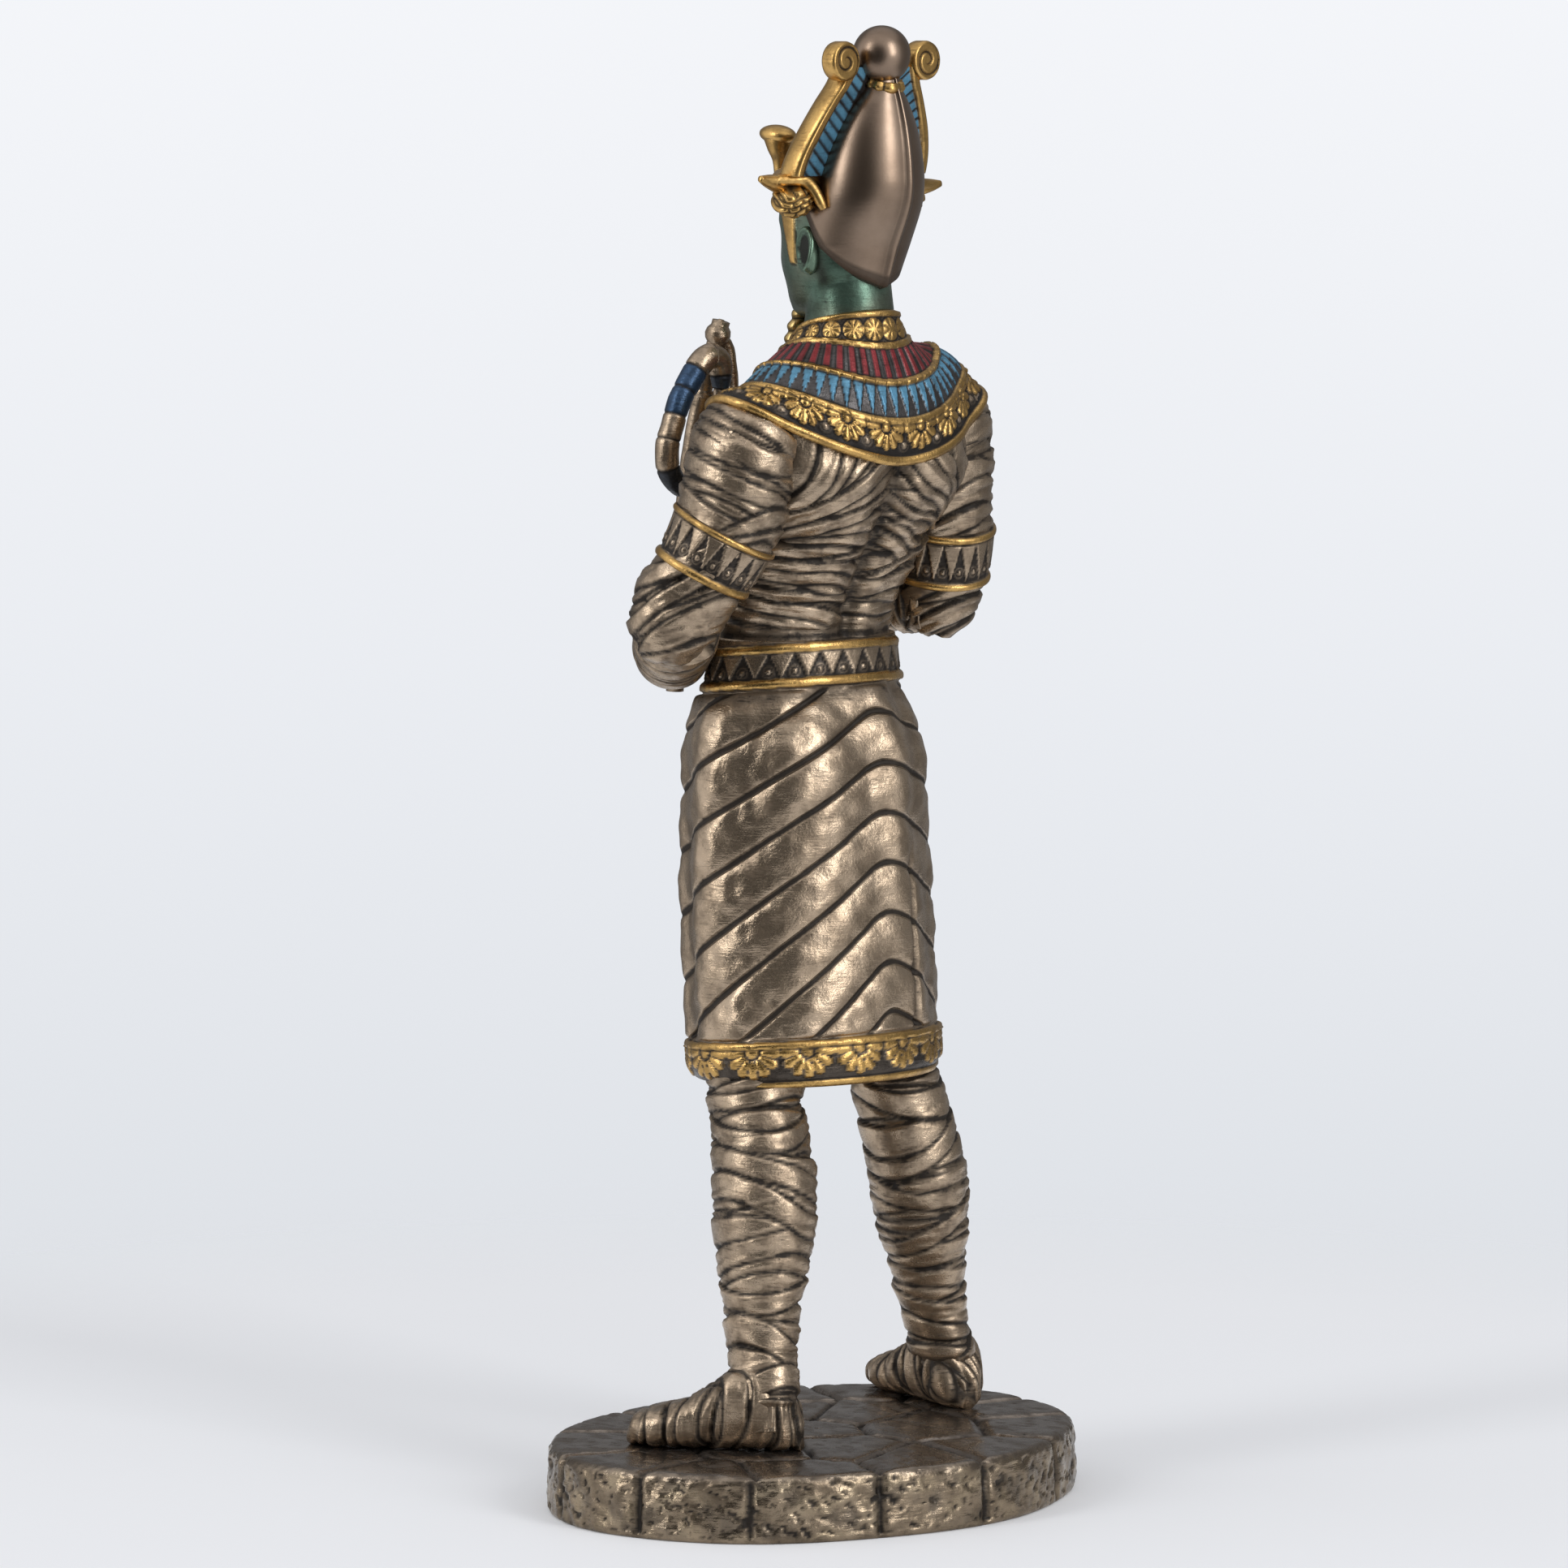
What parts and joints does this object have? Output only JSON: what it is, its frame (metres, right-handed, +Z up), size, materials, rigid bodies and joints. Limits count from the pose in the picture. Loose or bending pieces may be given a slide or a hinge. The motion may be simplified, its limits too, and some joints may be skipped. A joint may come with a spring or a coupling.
{
  "type": "osiris figure",
  "caption": "Standing mummy-wrapped Egyptian god in a tall plumed crown, broad collar and pleated kilt, holding a crook and a flail, on a low oval plinth of flagstones.",
  "frame": {"origin": "on the floor under the middle of the plinth's box", "axes": "+Z up; the figure faces -Y and its left hand is towards +X"},
  "size_m": [0.11, 0.0875, 0.2841],
  "materials": {
    "cast_bronze": "cold-cast bronze resin: rubbed warm bronze over dark hollows, with gilt and coloured details",
    "plinth_bronze": "dark polished cold-cast bronze resin, pitted on its sides",
    "rod_bronze": "satin cold-cast bronze resin",
    "crook_blue": "cold-cast bronze resin with painted navy bands"
  },
  "bodies": {
    "root": {"figure": "cast_bronze", "plinth": "plinth_bronze", "crook": "crook_blue", "flail": "rod_bronze"}
  },
  "joints": []
}
